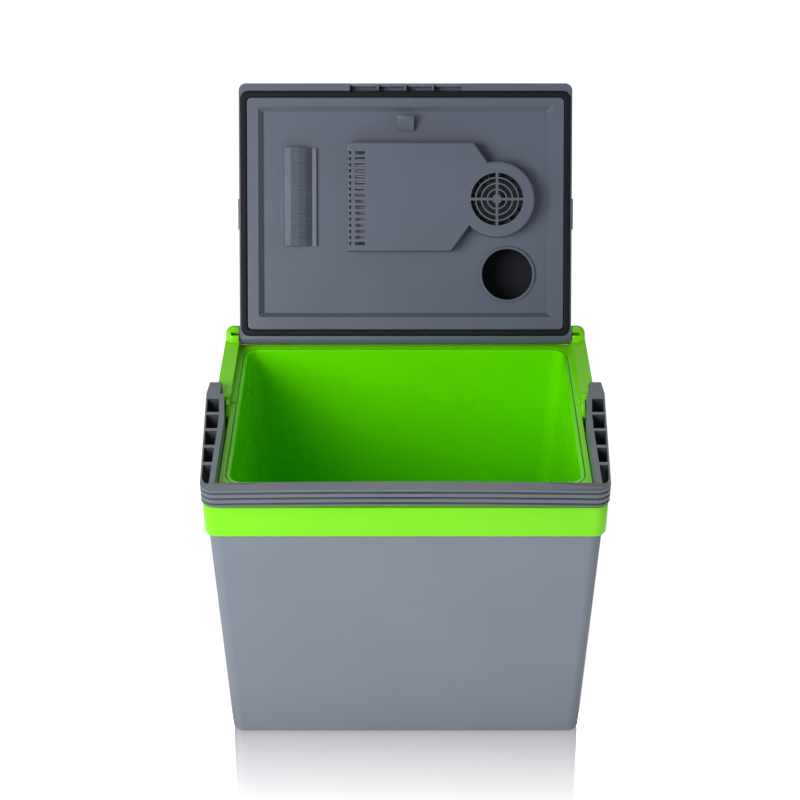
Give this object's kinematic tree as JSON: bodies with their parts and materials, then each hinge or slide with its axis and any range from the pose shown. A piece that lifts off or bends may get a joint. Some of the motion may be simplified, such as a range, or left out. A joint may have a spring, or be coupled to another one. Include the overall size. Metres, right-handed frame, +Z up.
{
  "type": "thermoelectric cool box",
  "caption": "Upright tapered cool box with a lime collar and liner, a deep powered lid that leans open and a U-shaped handle folded forward.",
  "frame": {"origin": "middle of the flat base at floor level", "axes": "+X to the right seen from the front, +Y to the back where the lid hinges, +Z up; the lid is open and the handle is folded forward"},
  "size_m": [0.416, 0.4828, 0.5834],
  "materials": {
    "shell_grey": "fine moulded grain, cool grey",
    "cover_grey": "fine moulded grain, cool grey",
    "handle_grey": "fine moulded grain, cool grey",
    "panel_grey": "satin grey vacuum-formed sheet",
    "lime_collar": "bright lime green, satin gloss",
    "lime_liner": "deeper lime green, glossy",
    "seal_rubber": "soft black",
    "foam": "rigid foamed insulation, hidden",
    "pin_steel": "plain turned steel",
    "sink_aluminium": "extruded",
    "ceramic_white": "white ceramic plates",
    "inner_black": "fine matt black",
    "board_green": "circuit board with its parts",
    "lens_green": "clear tinted lens",
    "lead_rubber": "soft black insulation",
    "knob_grey": "light grey, fine grip"
  },
  "bodies": {
    "box": {"outer_shell": "shell_grey", "rim_collar": "lime_collar", "inner_liner": "lime_liner", "body_foam": "foam", "hinge_pins": "pin_steel", "handle_pins": "pin_steel"},
    "lid": {"lid_cover": "cover_grey", "lid_panel": "panel_grey", "grip_pocket": "panel_grey", "lid_gasket": "seal_rubber", "bottle_cup": "panel_grey", "lid_foam": "foam", "duct_cover": "panel_grey", "air_deflector": "panel_grey", "latch_hook": "panel_grey", "cold_heatsink": "sink_aluminium", "cold_block": "sink_aluminium", "peltier_module": "ceramic_white", "hot_heatsink": "sink_aluminium", "fan_motor": "inner_black", "fan_guard": "inner_black", "power_supply": "board_green", "control_panel": "inner_black", "control_board": "board_green", "led_lenses": "lens_green", "wiring": "lead_rubber", "heatsink_screws": "pin_steel", "mains_inlet": "inner_black", "battery_inlet": "inner_black"},
    "fan": {"fan_shaft": "pin_steel", "cold_impeller": "inner_black", "hot_impeller": "inner_black"},
    "switch_knob": {"mode_switch": "knob_grey"},
    "carry_handle": {"handle": "handle_grey", "handle_caps": "handle_grey"}
  },
  "joints": [
    {"name": "lid_hinge", "type": "hinge", "parent": "box", "child": "lid", "pos_m": [0, 0.131, 0.3403], "axis": [1, 0, 0], "range_deg": [0, 121]},
    {"name": "handle_pivot", "type": "hinge", "parent": "box", "child": "carry_handle", "pos_m": [0, 0.013, 0.334], "axis": [-1, 0, 0], "range_deg": [0, 90]},
    {"name": "fan_spin", "type": "hinge", "parent": "lid", "child": "fan", "pos_m": [0.1002, 0.22581, 0.45984], "axis": [0, 0.8572, -0.515], "continuous": true},
    {"name": "mode_slide", "type": "slide", "parent": "lid", "child": "switch_knob", "axis": [1, 0, 0], "range_m": [-0.005, 0.005]}
  ]
}
